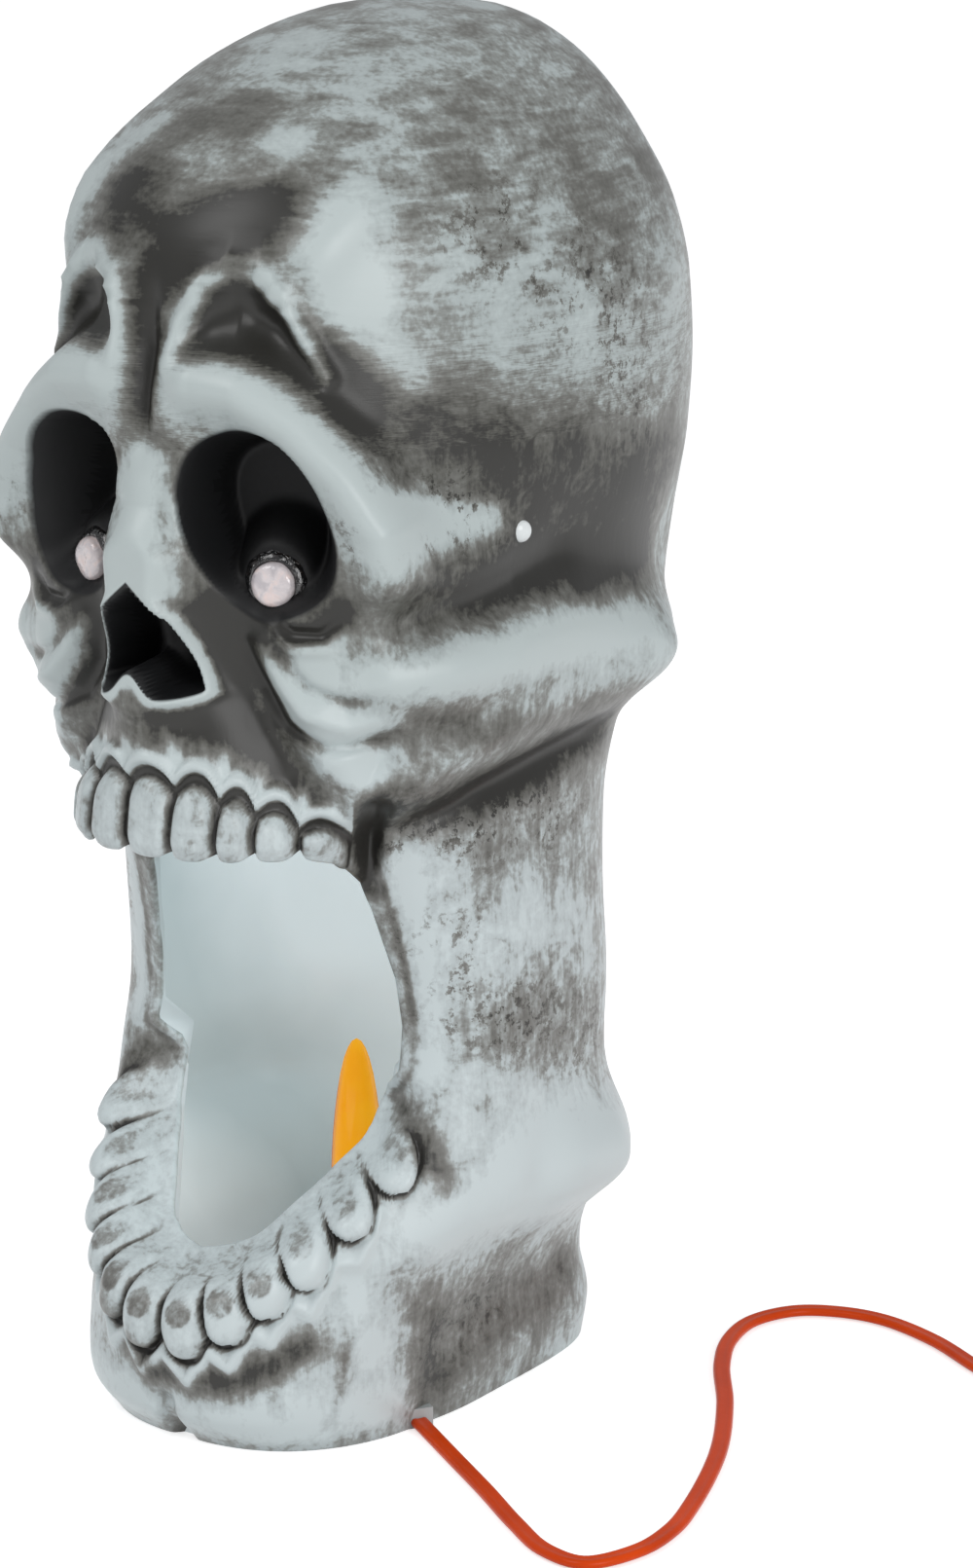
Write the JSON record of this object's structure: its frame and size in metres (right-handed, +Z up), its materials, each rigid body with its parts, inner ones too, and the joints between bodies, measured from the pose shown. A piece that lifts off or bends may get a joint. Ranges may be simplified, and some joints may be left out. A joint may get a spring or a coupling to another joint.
{
  "type": "skull lamp",
  "caption": "Tall hollow skull lamp with a gaping toothed mouth, eye lamps deep in the sockets, a flame-shaped lens inside and a flat mains cord with a fused plug.",
  "frame": {"origin": "middle of the skull's outline, on the surface that it stands on", "axes": "+Z up, the face looks along -Y, +X towards the skull's left side"},
  "size_m": [0.3169, 0.2894, 0.37],
  "materials": {
    "bone_plastic": "painted, worn grey wash over off-white",
    "base_plastic": "satin black",
    "screw_steel": "plain",
    "lamp_plastic": "clear to milky",
    "glue": "wet black",
    "holder_plastic": "satin black",
    "flame_plastic": "amber, see-through",
    "bulb_glass": "clear",
    "terminal_plastic": "natural",
    "wire_pvc": "green",
    "cord_pvc": "orange, glossy",
    "tie_pvc": "black",
    "plug_pvc": "orange, moulded",
    "blade_brass": "bright",
    "fuse_glass": "clear"
  },
  "bodies": {
    "root": {"skull_shell": "bone_plastic", "base_plate": "base_plastic", "base_screw_1": "screw_steel", "base_screw_2": "screw_steel", "base_screw_3": "screw_steel", "base_screw_4": "screw_steel", "eye_lamp_left": "lamp_plastic", "eye_lamp_right": "lamp_plastic", "eye_glue_left": "glue", "eye_glue_right": "glue", "eye_holder_left": "holder_plastic", "eye_holder_right": "holder_plastic", "temple_pin_left": "bone_plastic", "temple_pin_right": "bone_plastic", "flame_holder": "holder_plastic", "flame_lamp": "bulb_glass", "terminal_block": "terminal_plastic", "terminal_screw_1": "screw_steel", "terminal_screw_2": "screw_steel", "terminal_screw_3": "screw_steel", "eye_lead_left": "wire_pvc", "eye_lead_right": "wire_pvc", "flame_lead": "wire_pvc", "cord_grommet": "cord_pvc", "inner_cord": "cord_pvc", "cord_coil": "cord_pvc", "cord_lead": "cord_pvc", "cord_tail": "cord_pvc", "coil_tie": "tie_pvc", "plug_body": "plug_pvc", "plug_blade_wide": "blade_brass", "plug_blade_narrow": "blade_brass", "plug_fuse_left": "fuse_glass", "plug_fuse_right": "fuse_glass"},
    "fuse_door": {"plug_fuse_door": "plug_pvc"},
    "lens": {"flame_lens": "flame_plastic"}
  },
  "joints": [
    {"name": "fuse_door_slide", "type": "slide", "parent": "root", "child": "fuse_door", "axis": [0, 1, 0], "range_m": [0, 0.01]},
    {"name": "lens_lift", "type": "slide", "parent": "root", "child": "lens", "axis": [0, 0, 1], "range_m": [0, 0.02]}
  ]
}
